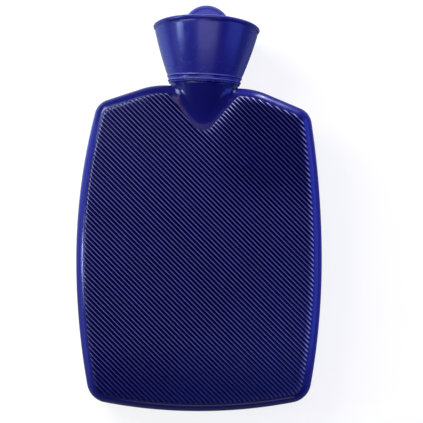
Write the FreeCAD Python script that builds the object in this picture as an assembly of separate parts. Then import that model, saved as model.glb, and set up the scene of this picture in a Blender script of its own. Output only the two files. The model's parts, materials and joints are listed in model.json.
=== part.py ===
"""Moulded hot water bottle with a wide filling funnel and a screw stopper. Millimetres.

The bottle frame: X to the right, Y from the bag's foot to the neck, Z out of the front face, with the
bag's middle plane at Z = 0 and its foot at Y = 0. The neck frame has the same axes, turned by the lean
of the neck. At the end the whole bottle is laid on its back, on the funnel's lip and the foot of the bag.
"""
import FreeCAD, Part
import math
import os

from FreeCAD import Placement, Rotation, Vector

# Bag: outline seen from the front
bag_width = 200.0
bag_widest_height = 122.8
shoulder_height = 264.0
foot_radius = 410.0
lower_side_radius = 575.0
upper_left_side_radius = 478.0
upper_right_side_radius = 760.0
foot_corner_radius = 18.0
shoulder_corner_radius = 15.0
shoulder_blend_radius = 60.0
shoulder_flat_width = 82.0
shoulder_slope = 20.4

# Bag: section
bag_thickness = 36.0
bag_edge_radius = 11.0
wall = 1.8
parting_bead_reach = 0.5
parting_bead_width = 1.6
parting_bead_bevel = 0.4

# Ribs, straight and diagonal, on both faces
rib_pitch = 2.9
rib_height = 0.9
rib_angle = -45.0
rib_floor = 0.1
rib_root = 1.2
rib_border = 7.0
rib_border_chord_depth = 0.2
spade_depth = 42.0
spade_half_angle = 38.6
spade_tip_radius = 10.0

# Neck of the bag
neck_lean = 2.4
lean_height = 166.0
neck_rise = 2.5
neck_cone_angle = 18.8
neck_cone_length = 50.5
neck_step = 1.5
spigot_length = 2.5

# Filling funnel
collar_step = 1.2
collar_length = 7.0
collar_bead_width = 1.6
collar_bead_reach = 0.5
lower_bead_rise = 2.2
bead_spacing = 3.3
collar_ledge = 1.4
funnel_spread = 12.4
funnel_side_length = 39.5
funnel_wall = 2.4
clamp_lip_gap = 2.5
clamp_lip_reach = 2.5
clamp_lip_thickness = 1.5
crown_rise = 4.4
lip_height = 3.3
lip_overhang = 0.9
lip_inner_overhang = 0.3
lip_bevel = 0.9

# Screw bush in the neck
bush_bore_radius = 17.3
bush_wall = 3.7
bush_depth = 18.0
bush_flange_thickness = 3.0

# Stopper
running_gap = 0.3
washer_width = 4.2
washer_thickness = 2.5
stopper_flange_thickness = 4.0
screw_length = 18.0
screw_wall = 3.0
screw_floor = 3.5
screw_chamfer = 1.2
tang_width = 22.0
tang_thickness = 3.0
tang_height = 18.0
grip_width = 39.2
grip_waist = 30.0
grip_foot_width = 36.0
grip_thickness = 7.0
grip_height = 52.7
grip_hub_height = 5.0
grip_hub_draft = 2.0
grip_shoulder_angle = 20.0
grip_recess_depth = 1.2
grip_border = 4.0
grip_bevel = 1.6

# How far a cutter or a blank reaches past what it cuts or is cut by, and how near two edges count as one
margin = 8.0
tolerance = 1e-4

# Radii about the neck's axis, from the screw's bore outwards
bush_radius = bush_bore_radius + bush_wall
washer_radius = bush_bore_radius + washer_width
stopper_flange_radius = washer_radius
clamp_lip_radius = stopper_flange_radius + clamp_lip_gap
spigot_radius = clamp_lip_radius + clamp_lip_reach
neck_top_radius = spigot_radius + neck_step
collar_radius = neck_top_radius + collar_step
funnel_foot_radius = collar_radius + collar_ledge
funnel_mouth_radius = funnel_foot_radius + funnel_spread

# Heights along the neck's axis, from the shoulders of the bag upwards
spade_height = shoulder_height - spade_depth
neck_top_height = shoulder_height + neck_rise
neck_cone_foot = neck_top_height - neck_cone_length
spigot_top = neck_top_height + spigot_length
bush_top = spigot_top + bush_flange_thickness
washer_top = bush_top + washer_thickness
flange_top = washer_top + stopper_flange_thickness
collar_top = neck_top_height + collar_length
lower_bead_height = neck_top_height + lower_bead_rise
upper_bead_height = lower_bead_height + bead_spacing
funnel_side_height = collar_top + funnel_side_length
crown_top_height = funnel_side_height + crown_rise
grip_top_height = flange_top + grip_height

UP = Vector(0, 0, 1)
ALONG = Vector(0, 1, 0)
AXIS = Placement(Vector(0, 0, 0), Rotation(UP, -neck_lean), Vector(0, lean_height, 0))


def spot(x, y, z=0.0):
    """A point from its three coordinates."""
    return Vector(x, y, z)


def leaned(shape):
    """The shape moved from the neck frame to the bottle frame."""
    moved = shape.copy()
    moved.transformShape(AXIS.toMatrix())
    return moved


def arc_about(centre, start, end):
    """The short circular arc about a centre, from start to end."""
    radius = (start - centre).Length
    middle = (start - centre) + (end - centre)
    middle.normalize()
    return Part.Arc(start, centre + middle * radius, end).toShape()


def line_meets_circle(point, direction, centre, radius):
    """The far point where a line through a point, along a unit direction, leaves a circle."""
    reach = (centre - point).dot(direction)
    foot = point + direction * reach
    half = math.sqrt(radius ** 2 - (centre - foot).Length ** 2)
    return foot + direction * half


def circles_meet(centre_a, radius_a, centre_b, radius_b, side):
    """The meeting point of two circles on the left (1) or the right (-1) of the way from a to b."""
    way = centre_b - centre_a
    gap = way.Length
    way.normalize()
    along = (gap ** 2 + radius_a ** 2 - radius_b ** 2) / (2 * gap)
    across = math.sqrt(radius_a ** 2 - along ** 2)
    return centre_a + way * along + Vector(-way.y, way.x, 0) * across * side


def revolved(points):
    """A solid of revolution about the neck's axis, from (radius, height) corners."""
    corners = [spot(radius, height) for radius, height in points]
    face = Part.Face(Part.makePolygon(corners + corners[:1]))
    return face.revolve(spot(0, 0), ALONG, 360)


def prism(edges, low, high):
    """The solid between two heights over an outline of edges in the XY plane."""
    wire = Part.Wire(Part.__sortEdges__(edges))
    wire.translate(Vector(0, 0, low))
    return Part.Face(wire).extrude(Vector(0, 0, high - low))


def shoulder_line(side, inset):
    """The start and the unit direction of a sloping shoulder, to the right (1) or the left (-1)."""
    slope = math.radians(shoulder_slope)
    start = spot(side * shoulder_flat_width / 2, shoulder_height)
    direction = Vector(side * math.cos(slope), -math.sin(slope), 0)
    inward = Vector(-side * math.sin(slope), -math.cos(slope), 0)
    return AXIS.multVec(start + inward * inset), AXIS.Rotation.multVec(direction)


def flat_point(side, inset):
    """The corner between the level part of the shoulders and a slope."""
    slope = math.radians(shoulder_slope)
    reach = shoulder_flat_width / 2 - inset * math.tan(slope / 2)
    return AXIS.multVec(spot(side * reach, shoulder_height - inset))


def bag_prism(inset, low, high):
    """The bag's outline, moved inwards by an inset, as a solid between two heights."""
    half = bag_width / 2
    widest = {side: spot(side * (half - inset), bag_widest_height) for side in (1, -1)}
    upper = {1: upper_right_side_radius, -1: upper_left_side_radius}
    foot_centre = spot(0, foot_radius)
    heels = []
    edges = []
    for side in (1, -1):
        low_centre = spot(side * (half - lower_side_radius), bag_widest_height)
        high_centre = spot(side * (half - upper[side]), bag_widest_height)
        start, direction = shoulder_line(side, inset)
        corner = line_meets_circle(start, direction, high_centre, upper[side] - inset)
        heel = circles_meet(foot_centre, foot_radius - inset, low_centre, lower_side_radius - inset, side)
        heels.append(heel)
        edges.append(arc_about(low_centre, heel, widest[side]))
        edges.append(arc_about(high_centre, widest[side], corner))
        edges.append(Part.LineSegment(corner, flat_point(side, inset)).toShape())
    edges.append(arc_about(foot_centre, *heels))
    edges.append(Part.LineSegment(flat_point(-1, inset), flat_point(1, inset)).toShape())
    return rounded_corners(prism(edges, low, high), inset)


def rounded_corners(block, inset):
    """The block with the upright edges of its outline rounded."""
    radii = {"heel": foot_corner_radius, "corner": shoulder_corner_radius, "flat": shoulder_blend_radius}
    groups = {name: [] for name in radii}
    flats = [flat_point(side, inset) for side in (1, -1)]
    for edge in block.Edges:
        ends = edge.Vertexes
        if len(ends) < 2 or abs(ends[0].Point.z - ends[1].Point.z) < tolerance:
            continue
        place = ends[0].Point
        if abs(place.y - bag_widest_height) < tolerance:
            continue
        if place.y < bag_widest_height:
            groups["heel"].append(edge)
        elif any(math.hypot(place.x - flat.x, place.y - flat.y) < tolerance for flat in flats):
            groups["flat"].append(edge)
        else:
            groups["corner"].append(edge)
    for name, radius in radii.items():
        block = block.makeFillet(radius - inset, matching_edges(block, groups[name]))
    return block


def matching_edges(block, wanted):
    """The edges of a block that lie where the wanted edges lie."""
    middles = [edge.CenterOfMass for edge in wanted]
    return [edge for edge in block.Edges if any(edge.CenterOfMass.isEqual(m, tolerance) for m in middles)]


def level_edges(block, height):
    """The edges of a block that lie at a height above and below the bag's middle plane."""
    return [edge for edge in block.Edges if abs(abs(edge.CenterOfMass.z) - height) < tolerance]


def bag_block(inset):
    """The bag as a solid slab, its skin moved inwards by an inset and its rims rounded in two flats.

    Both flats touch the rim's circle: one at 45 degrees, and one halfway between it and the face.
    """
    half = bag_thickness / 2 - inset
    radius = bag_edge_radius - inset
    wide = radius * (1 - math.tan(math.pi / 8))
    narrow = radius * (math.tan(math.pi / 8) - math.tan(math.pi / 16))
    block = bag_prism(inset, -half, half)
    block = block.makeChamfer(wide, level_edges(block, half))
    return block.makeChamfer(narrow, level_edges(block, half))


def parting_bead():
    """The thin bead round the bag's middle plane, where the mould halves met."""
    half = parting_bead_width / 2
    bead = bag_prism(-parting_bead_reach, -half, half)
    return bead.makeChamfer(parting_bead_bevel, level_edges(bead, half))


def neck_cone_radius(height, inset=0.0):
    """The radius of the neck's cone at a height, or of its skin moved inwards by an inset."""
    slope = math.tan(math.radians(neck_cone_angle))
    return neck_top_radius - (neck_top_height - height) * slope - inset


def neck_block():
    """The solid cone of the neck with the spigot that carries the funnel."""
    return leaned(revolved([
        (0, neck_cone_foot),
        (neck_cone_radius(neck_cone_foot), neck_cone_foot),
        (neck_top_radius, neck_top_height),
        (spigot_radius, neck_top_height),
        (spigot_radius, spigot_top),
        (0, spigot_top),
    ]))


def neck_passage():
    """The way from the neck into the bag: the bush's pocket and the cone below it."""
    pocket_foot = spigot_top - bush_depth + bush_flange_thickness
    return leaned(revolved([
        (0, neck_cone_foot),
        (neck_cone_radius(neck_cone_foot, wall), neck_cone_foot),
        (min(neck_cone_radius(pocket_foot, wall), bush_radius), pocket_foot),
        (bush_radius, pocket_foot),
        (bush_radius, spigot_top + margin),
        (0, spigot_top + margin),
    ]))


def rib_comb(reach):
    """A plate with ribs side by side on its upper face, before it is cut to the field."""
    count = 2 * math.ceil(reach / rib_pitch)
    first = -count * rib_pitch / 2
    level = bag_thickness / 2 + rib_floor
    base = bag_thickness / 2 - rib_root
    corners = [spot(first, 0, base)]
    for index in range(count):
        foot = first + index * rib_pitch
        corners.append(spot(foot, 0, level))
        corners.append(spot(foot + rib_pitch / 2, 0, level + rib_height))
    corners.append(spot(-first, 0, level))
    corners.append(spot(-first, 0, base))
    section = Part.Face(Part.makePolygon(corners + corners[:1]))
    section.translate(Vector(0, -reach, 0))
    comb = section.extrude(Vector(0, 2 * reach, 0))
    comb.rotate(spot(0, 0), UP, rib_angle - 90)
    comb.translate(spot(0, bag_widest_height))
    return comb


def spade_space(low, high):
    """The rounded wedge round the neck's cone that the ribs keep clear of."""
    rise = shoulder_height + bag_edge_radius - spade_height
    spread = rise * math.tan(math.radians(spade_half_angle))
    corners = [spot(0, spade_height), spot(spread, spade_height + rise), spot(-spread, spade_height + rise)]
    wedge = prism(Part.makePolygon(corners + corners[:1]).Edges, low, high)
    middle = spot(0, spade_height, (low + high) / 2)
    tip = [edge for edge in wedge.Edges if edge.CenterOfMass.isEqual(middle, tolerance)]
    return leaned(wedge.makeFillet(spade_tip_radius, tip))


def rib_ground(low, high):
    """The room of the ribs inside the smooth border: the bag's outline in short chords, as a solid."""
    block = bag_prism(rib_border, low, high)
    lowest = min(block.Faces, key=lambda face: face.CenterOfMass.z)
    corners = lowest.OuterWire.discretize(Deflection=rib_border_chord_depth)
    return prism(Part.makePolygon(corners).Edges, low, high)


def rib_field():
    """The ribbed pad of the front face, inside its smooth border and clear of the neck."""
    low = bag_thickness / 2 - rib_root - margin
    high = bag_thickness / 2 + rib_floor + rib_height + margin
    reach = math.hypot(bag_width, shoulder_height) / 2 + rib_pitch
    field = rib_ground(low, high).cut(spade_space(low - margin, high + margin))
    return rib_comb(reach).common(field)


def make_bottle_body():
    """The water bag with its neck: one hollow moulding, ribbed on both faces."""
    front = rib_field()
    back = front.mirror(spot(0, 0), UP)
    outside = bag_block(0.0).fuse([parting_bead(), neck_block()])
    outside = outside.fuse([front, back])
    return outside.cut(bag_block(wall).fuse(neck_passage()))


def funnel_radius(height, offset=0.0):
    """The radius of the funnel's conical side at a height, moved outwards by an offset."""
    spread = (funnel_mouth_radius - funnel_foot_radius) / (funnel_side_height - collar_top)
    return funnel_foot_radius + (height - collar_top) * spread + offset


def crown_space(drop):
    """The space under the funnel's saddle-shaped mouth, lowered by a drop: highest front and back."""
    half = funnel_radius(crown_top_height) + 2 * margin
    radius = funnel_radius(crown_top_height) ** 2 / (2 * crown_rise) + crown_rise / 2
    valley = funnel_side_height - drop
    rim = valley + radius - math.sqrt(radius ** 2 - half ** 2)
    level = neck_top_height - margin
    face = Part.Face(Part.Wire([
        Part.Arc(spot(0, rim, half), spot(0, valley), spot(0, rim, -half)).toShape(),
        Part.makePolygon([spot(0, rim, -half), spot(0, level, -half), spot(0, level, half), spot(0, rim, half)]),
    ]))
    face.translate(Vector(-half, 0, 0))
    return face.extrude(Vector(2 * half, 0, 0))


def collar_side():
    """The outer corners of the collar from its top down to its foot, with the double bead."""
    corners = [(collar_radius, collar_top)]
    for height in (upper_bead_height, lower_bead_height):
        corners.append((collar_radius, height + collar_bead_width / 2))
        corners.append((collar_radius + collar_bead_reach, height + collar_bead_width / 5))
        corners.append((collar_radius + collar_bead_reach, height - collar_bead_width / 5))
        corners.append((collar_radius, height - collar_bead_width / 2))
    corners.append((collar_radius, neck_top_height))
    return corners


def make_filling_funnel():
    """The conical collar welded over the neck, with its crowned, thickened lip and its double bead."""
    top = crown_top_height + margin
    inner_foot = collar_top + clamp_lip_thickness
    funnel = revolved([
        (funnel_radius(top), top),
        (funnel_radius(top, -funnel_wall), top),
        (funnel_radius(inner_foot, -funnel_wall), inner_foot),
        (clamp_lip_radius, bush_top + clamp_lip_thickness),
        (clamp_lip_radius, bush_top),
        (spigot_radius, bush_top),
        (spigot_radius, neck_top_height),
        *reversed(collar_side()),
        (funnel_foot_radius, collar_top),
    ])
    return leaned(funnel.common(crown_space(lip_height / 2)).fuse(crowned_lip()))


def crowned_lip():
    """The thick bevelled lip along the mouth of the funnel."""
    low = funnel_side_height - lip_height - margin
    high = crown_top_height + margin
    ring = revolved([
        (funnel_radius(low, -funnel_wall - lip_inner_overhang), low),
        (funnel_radius(low, lip_overhang), low),
        (funnel_radius(high, lip_overhang), high),
        (funnel_radius(high, -funnel_wall - lip_inner_overhang), high),
    ])
    lip = ring.common(crown_space(0.0)).cut(crown_space(lip_height))
    mouth = funnel_side_height + (crown_rise - lip_height) / 2
    rims = [edge for edge in lip.Edges if edge.Length > 2 * lip_height and edge.CenterOfMass.y > mouth]
    return lip.makeChamfer(lip_bevel, rims)


def make_neck_insert():
    """The hard flanged bush in the neck that takes the screw."""
    foot = bush_top - bush_depth
    return leaned(revolved([
        (bush_bore_radius, foot),
        (bush_radius, foot),
        (bush_radius, spigot_top),
        (spigot_radius, spigot_top),
        (spigot_radius, bush_top),
        (bush_bore_radius, bush_top),
    ]))


def make_sealing_washer():
    """The soft ring between the bush and the stopper's flange."""
    return leaned(revolved([
        (bush_bore_radius, bush_top),
        (washer_radius, bush_top),
        (washer_radius, washer_top),
        (bush_bore_radius, washer_top),
    ]))


def make_stopper_screw():
    """The hard plug: a hollow screw shank, a flange and the tang that holds the grip."""
    shank = bush_bore_radius - running_gap
    foot = bush_top - screw_length
    core = shank - screw_wall
    body = revolved([
        (core, foot),
        (shank - screw_chamfer, foot),
        (shank, foot + screw_chamfer),
        (shank, washer_top),
        (stopper_flange_radius, washer_top),
        (stopper_flange_radius, flange_top),
        (0, flange_top),
        (0, flange_top - screw_floor),
        (core, flange_top - screw_floor),
    ])
    tang = Part.makeBox(tang_width, tang_height, tang_thickness,
                        spot(-tang_width / 2, flange_top, -tang_thickness / 2))
    return leaned(body.fuse(tang))


def grip_outline(inset):
    """The outline of the finger tab: a round head, a waist and a wider foot, moved inwards by an inset."""
    head = grip_width / 2 - inset
    centre = spot(0, grip_top_height - grip_width / 2)
    foot = flange_top + inset
    shoulder = math.radians(grip_shoulder_angle)
    right = centre + Vector(head * math.cos(shoulder), -head * math.sin(shoulder), 0)
    left = spot(-right.x, right.y)
    top = spot(0, grip_top_height - inset)
    waist = grip_waist / 2 - inset
    base = grip_foot_width / 2 - inset
    middle = (right.y + foot) / 2
    return [
        Part.Arc(right, top, left).toShape(),
        Part.Arc(left, spot(-waist, middle), spot(-base, foot)).toShape(),
        Part.LineSegment(spot(-base, foot), spot(base, foot)).toShape(),
        Part.Arc(spot(base, foot), spot(waist, middle), right).toShape(),
    ]


def grip_bevel_slice(side):
    """The bevelled skin of the finger tab on its front (1) or back (-1) face."""
    wires = []
    for inset, height in ((0.0, grip_thickness / 2 - grip_bevel), (grip_bevel, grip_thickness / 2)):
        wire = Part.Wire(Part.__sortEdges__(grip_outline(inset)))
        wire.translate(Vector(0, 0, side * height))
        wires.append(wire)
    return Part.makeLoft(wires, True, True)


def make_stopper_grip():
    """The flat finger tab on the stopper's tang, bevelled all round and recessed on both faces."""
    half = grip_thickness / 2
    core = half - grip_bevel
    tab = prism(grip_outline(0.0), -core, core).fuse([grip_bevel_slice(1), grip_bevel_slice(-1)])
    for low in (half - grip_recess_depth, -half - margin):
        tab = tab.cut(prism(grip_outline(grip_border), low, low + grip_recess_depth + margin))
    hub = revolved([
        (0, flange_top),
        (grip_foot_width / 2, flange_top),
        (grip_foot_width / 2 - grip_hub_draft, flange_top + grip_hub_height),
        (0, flange_top + grip_hub_height),
    ])
    slot = Part.makeBox(tang_width, tang_height, tang_thickness,
                        spot(-tang_width / 2, flange_top, -tang_thickness / 2))
    return leaned(tab.fuse(hub).cut(slot))


def rest_placement(nodes):
    """The placement that lays the bottle on its back, on the funnel's lip and the bag's foot."""
    pad_back = bag_thickness / 2 + rib_floor + rib_height
    lip_edge = crown_top_height - lip_bevel
    lip_back = funnel_radius(lip_edge, lip_overhang)
    reach = lean_height + (lip_edge - lean_height) * math.cos(math.radians(neck_lean))
    tilt = math.degrees(math.atan2(lip_back - pad_back, reach - rib_border))
    turn = Placement(Vector(0, 0, 0), Rotation(Vector(1, 0, 0), tilt))
    laid = Part.makeCompound([shape.copy() for shape in nodes.values()])
    laid.transformShape(turn.toMatrix())
    box = laid.optimalBoundingBox(False, False)
    centre = Vector((box.XMin + box.XMax) / 2, (box.YMin + box.YMax) / 2, box.ZMin)
    return Placement(-centre, turn.Rotation)


def main():
    """Builds every piece, lays the bottle down and writes one file per piece."""
    nodes = {
        "bottle_body": make_bottle_body(),
        "filling_funnel": make_filling_funnel(),
        "neck_insert": make_neck_insert(),
        "sealing_washer": make_sealing_washer(),
        "stopper_screw": make_stopper_screw(),
        "stopper_grip": make_stopper_grip(),
    }
    placement = rest_placement(nodes)
    os.makedirs("parts", exist_ok=True)
    for name, shape in nodes.items():
        shape.transformShape(placement.toMatrix())
        shape.exportStep("parts/" + name + ".step")
        print(name, len(shape.Solids), shape.isValid(), round(shape.Volume))


main()
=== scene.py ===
"""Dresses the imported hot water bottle: ribbed vinyl bag, conical neck, crowned funnel and screw stopper.

Lengths are millimetres until Placement.to_row turns them into the row frame's metres. The bag frame has X to
the right, Y from the foot to the neck and Z out of the front face, with the bag's middle plane at Z = 0. The
neck frame has the same axes, turned by the lean of the neck. A plan position is a complex number, X + iY.
"""

import json
import logging
import math
from dataclasses import dataclass, field
from enum import Enum

import bmesh
import bpy
import numpy as np
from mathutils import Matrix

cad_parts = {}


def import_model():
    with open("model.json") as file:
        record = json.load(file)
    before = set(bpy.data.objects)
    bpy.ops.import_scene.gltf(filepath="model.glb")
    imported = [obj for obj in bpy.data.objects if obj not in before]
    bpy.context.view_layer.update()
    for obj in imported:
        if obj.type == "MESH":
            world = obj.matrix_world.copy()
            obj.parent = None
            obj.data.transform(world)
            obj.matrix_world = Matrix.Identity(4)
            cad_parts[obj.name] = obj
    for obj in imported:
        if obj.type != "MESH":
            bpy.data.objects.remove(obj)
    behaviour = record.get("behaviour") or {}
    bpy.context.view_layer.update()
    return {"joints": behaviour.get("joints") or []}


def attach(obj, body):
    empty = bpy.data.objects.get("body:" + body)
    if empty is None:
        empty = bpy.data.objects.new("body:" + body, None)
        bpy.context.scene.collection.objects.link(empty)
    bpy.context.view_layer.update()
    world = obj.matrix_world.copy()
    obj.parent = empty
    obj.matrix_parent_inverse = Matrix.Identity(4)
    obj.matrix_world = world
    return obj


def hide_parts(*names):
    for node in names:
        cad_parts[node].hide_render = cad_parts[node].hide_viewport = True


log = logging.getLogger("bottle")

Colour = tuple[float, float, float]
Place = tuple[float, float, float]
Limits = tuple[float, float]

MM = 0.001

# Radius of the circle that stands for a straight stretch of the outline
STRAIGHT = 1.0e5

# How near two points count as one, in metres, and how far past its ends an arc still counts, in radians
MERGE_DISTANCE = 1.0e-7
ANGLE_SLACK = 1.0e-7

# How far a place may miss a limit and still count, and the least length to divide by
SLACK = 1.0e-6
TINY = 1.0e-9

# Points on the rounding of a corner in a turned section
ROUND_STEPS = 5

# Height on the bag's middle line about which the neck leans
LEAN_HEIGHT = 166.0

# Heights and radii about the neck's axis that several pieces share
NECK_TOP = 266.5
SPIGOT_TOP = 269.0
SPIGOT_RADIUS = 26.5
BUSH_FOOT = 254.0
BUSH_TOP = 272.0
BUSH_BORE = 17.3
WASHER_TOP = 274.5
FLANGE_TOP = 278.5


class Body(Enum):
    """The moving bodies of the bottle, by their names in the record."""

    BOTTLE = "bottle"
    WASHER = "washer"
    STOPPER = "stopper"


class Side(Enum):
    """The two faces of the bag, by the sign of their height above its middle plane."""

    FRONT = 1.0
    BACK = -1.0


# Frames


@dataclass(frozen=True)
class Placement:
    """A frame of the bottle inside the row frame: three unit directions and an origin in millimetres."""

    right: np.ndarray
    along: np.ndarray
    out: np.ndarray
    origin: np.ndarray

    def to_row(self, points: np.ndarray) -> np.ndarray:
        """Turns points of this frame into the row frame.

        Args:
            points: Positions in millimetres, with the three coordinates last.

        Returns:
            The same positions in the row frame, in metres: origin + x right + y along + z out.
        """
        return (self.origin + points @ np.stack([self.right, self.along, self.out])) * MM


@dataclass(frozen=True)
class Frames:
    """The bag frame and the neck frame, and the lean between them about a point of the bag's middle line."""

    bag: Placement
    neck: Placement
    lean: float
    lean_height: float

    @classmethod
    def from_joint(cls, joint: dict, seat_height: float, lean_height: float) -> "Frames":
        """Works both frames out from the joint that the stopper turns on.

        The joint's axis is (sin lean, cos lean cos tilt, cos lean sin tilt), so it gives both angles.

        Args:
            joint: The record's joint, with its axis and a point on it.
            seat_height: Height of that point above the bag's foot, along the neck frame.
            lean_height: Height above the foot at which the neck frame is turned.

        Returns:
            The two frames.
        """
        axis = np.array(joint["axis"], float)
        axis /= np.linalg.norm(axis)
        tilt = math.atan2(axis[2], axis[1])
        along = np.array([0.0, math.cos(tilt), math.sin(tilt)])
        out = np.array([0.0, -math.sin(tilt), math.cos(tilt)])
        pivot = np.array(joint["pos_m"], float) / MM - (seat_height - lean_height) * axis
        bag = Placement(np.array([1.0, 0.0, 0.0]), along, out, pivot - lean_height * along)
        neck = Placement(np.cross(axis, out), axis, out, pivot - lean_height * axis)
        return cls(bag, neck, math.asin(axis[0]), lean_height)

    def leaned(self, plan: np.ndarray) -> np.ndarray:
        """Moves plan positions from the neck frame to the bag frame: a turn by the lean about the pivot."""
        pivot = 1j * self.lean_height
        return pivot + (plan - pivot) * np.exp(-1j * self.lean)

    def neck_to_bag(self, points: np.ndarray) -> np.ndarray:
        """Moves points from the neck frame to the bag frame, at the same height above the middle plane."""
        return raised(self.leaned(plan_of(points)), points[..., 2])


# Meshes


def ease(share: np.ndarray) -> np.ndarray:
    """Smooth step from 0 to 1: three times the square less twice the cube of the clipped share."""
    share = np.clip(share, 0.0, 1.0)
    return share * share * (3.0 - 2.0 * share)


def ease_over(value: np.ndarray, zone: Limits) -> np.ndarray:
    """Smooth step from 0 where a value enters a zone, at its first limit, to 1 at its second limit."""
    start, end = zone
    return ease((value - start) / (end - start))


def bell(value: np.ndarray, middle: float, width: np.ndarray | float) -> np.ndarray:
    """Bell curve: e to the power of minus the square of the distance from the middle over the width."""
    return np.exp(-((value - middle) / width) ** 2)


def plan_of(points: np.ndarray) -> np.ndarray:
    """Plan positions of points."""
    return points[..., 0] + 1j * points[..., 1]


def raised(plan: np.ndarray, height: np.ndarray) -> np.ndarray:
    """Points over plan positions, each at its height."""
    return np.stack([plan.real, plan.imag, height], -1)


def both_faces(plan: np.ndarray, height: np.ndarray) -> np.ndarray:
    """Rows from the edge to the middle of the front, after their mirror images on the back in reverse."""
    front = raised(plan, height)
    return np.concatenate([front[:0:-1] * np.array([1.0, 1.0, -1.0]), front])


def on_circle(angle: np.ndarray, radius: np.ndarray | float, height: np.ndarray | float) -> np.ndarray:
    """Points about the neck's axis: (radius cos angle, height, radius sin angle)."""
    return np.stack(np.broadcast_arrays(radius * np.cos(angle), height, radius * np.sin(angle)), -1)


def spun(section: np.ndarray, angle: np.ndarray) -> np.ndarray:
    """Spins a section, points by radius and height, about the neck's axis."""
    return on_circle(angle, section[:, :1], section[:, 1:])


def full_turn(count: int) -> np.ndarray:
    """Angles of evenly spaced places all the way round."""
    return np.arange(count) * math.tau / count


@dataclass
class Skin:
    """Collects grids of points as one mesh, with two numbers for each point that the finish may read.

    The painted light goes from -1, painted shade in the groove between two ribs, to 1, a painted highlight
    at a rib's lit end, and is 0 on smooth skin. On the funnel it paints highlights on the beads and the lip
    and shade under the beads and in the groove under the lip. The rim goes from 0 to 1 towards the bag's
    edge and carries a painted glow there.
    """

    points: list[np.ndarray] = field(default_factory=list)
    quads: list[np.ndarray] = field(default_factory=list)
    closers: list[list[int]] = field(default_factory=list)
    painted_lights: list[np.ndarray] = field(default_factory=list)
    painted_rim_glows: list[np.ndarray] = field(default_factory=list)
    count: int = 0

    def add(self, grid: np.ndarray, painted_light: np.ndarray | float = 0.0, rim: np.ndarray | float = 0.0,
            rows_close: bool = False, columns_close: bool = True) -> np.ndarray:
        """Adds a grid of points, joined to its neighbours by four-sided faces.

        Args:
            grid: Points in millimetres, shaped rows by columns by three.
            painted_light: The painted highlight or shade of each point, from -1 to 1.
            rim: The painted glow of each point towards the bag's edge.
            rows_close: Whether the last row joins the first.
            columns_close: Whether the last column joins the first.

        Returns:
            The index of every point of the grid, rows by columns.
        """
        rows, columns = grid.shape[:2]
        index = self.count + np.arange(rows * columns).reshape(rows, columns)
        wide = np.concatenate([index, index[:, :1]], 1) if columns_close else index
        full = np.concatenate([wide, wide[:1]], 0) if rows_close else wide
        corners = [full[:-1, :-1], full[:-1, 1:], full[1:, 1:], full[1:, :-1]]
        self.quads.append(np.stack(corners, -1).reshape(-1, 4))
        self.points.append(grid.reshape(-1, 3))
        for kept, value in ((self.painted_lights, painted_light), (self.painted_rim_glows, rim)):
            kept.append(np.broadcast_to(value, (rows, columns)).reshape(-1).astype(float))
        self.count += rows * columns
        return index

    def close_sheet(self, index: np.ndarray) -> None:
        """Closes an open sheet: a long face under each pair of lines, and one at its first and last line.

        Args:
            index: The sheet's point numbers, one row for each line.
        """
        under = [index[:-1, 0], index[1:, 0], index[1:, -1], index[:-1, -1]]
        self.closers.extend(np.stack(under, -1).tolist())
        self.closers.extend([index[0].tolist(), index[-1, ::-1].tolist()])

    def build(self, name: str, placement: Placement) -> bpy.types.Object:
        """Makes the object, with doubles merged and faces pointing outwards. Only the closing faces are flat.

        Args:
            name: The object's name.
            placement: The frame that the points are in.

        Returns:
            The new object, at the origin of the row frame.
        """
        mesh = bpy.data.meshes.new(name)
        rows = placement.to_row(np.concatenate(self.points))
        quads = np.concatenate(self.quads).tolist()
        mesh.from_pydata(rows.tolist(), [], quads + self.closers)
        mesh.polygons.foreach_set("use_smooth", [True] * len(quads) + [False] * len(self.closers))
        # Both numbers carry painted light: shade and highlights on ribs, beads and lip, and a glow at the bag's
        # edge
        for label, kept in (("painted_light", self.painted_lights), ("rim", self.painted_rim_glows)):
            mesh.attributes.new(label, "FLOAT", "POINT").data.foreach_set("value", np.concatenate(kept))
        work = bmesh.new()
        work.from_mesh(mesh)
        bmesh.ops.remove_doubles(work, verts=work.verts, dist=MERGE_DISTANCE)
        bmesh.ops.recalc_face_normals(work, faces=work.faces)
        work.to_mesh(mesh)
        work.free()
        piece = bpy.data.objects.new(name, mesh)
        bpy.context.scene.collection.objects.link(piece)
        return piece


# Outline of the bag


def circles_meet(centre: complex, radius: float, other: complex, other_radius: float) -> complex:
    """Finds where two circles cross, on the left of the way from the first centre to the other.

    Along that way the crossing lies at (gap squared + radius squared - other radius squared) / (2 gap), and
    across it at the root of (radius squared - that squared).

    Args:
        centre: Centre of the first circle.
        radius: Its radius.
        other: Centre of the other circle.
        other_radius: Its radius.

    Returns:
        The crossing.
    """
    way = other - centre
    gap = abs(way)
    along = (gap ** 2 + radius ** 2 - other_radius ** 2) / (2.0 * gap)
    across = math.sqrt(max(radius ** 2 - along ** 2, 0.0))
    return centre + way / gap * complex(along, across)


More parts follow.
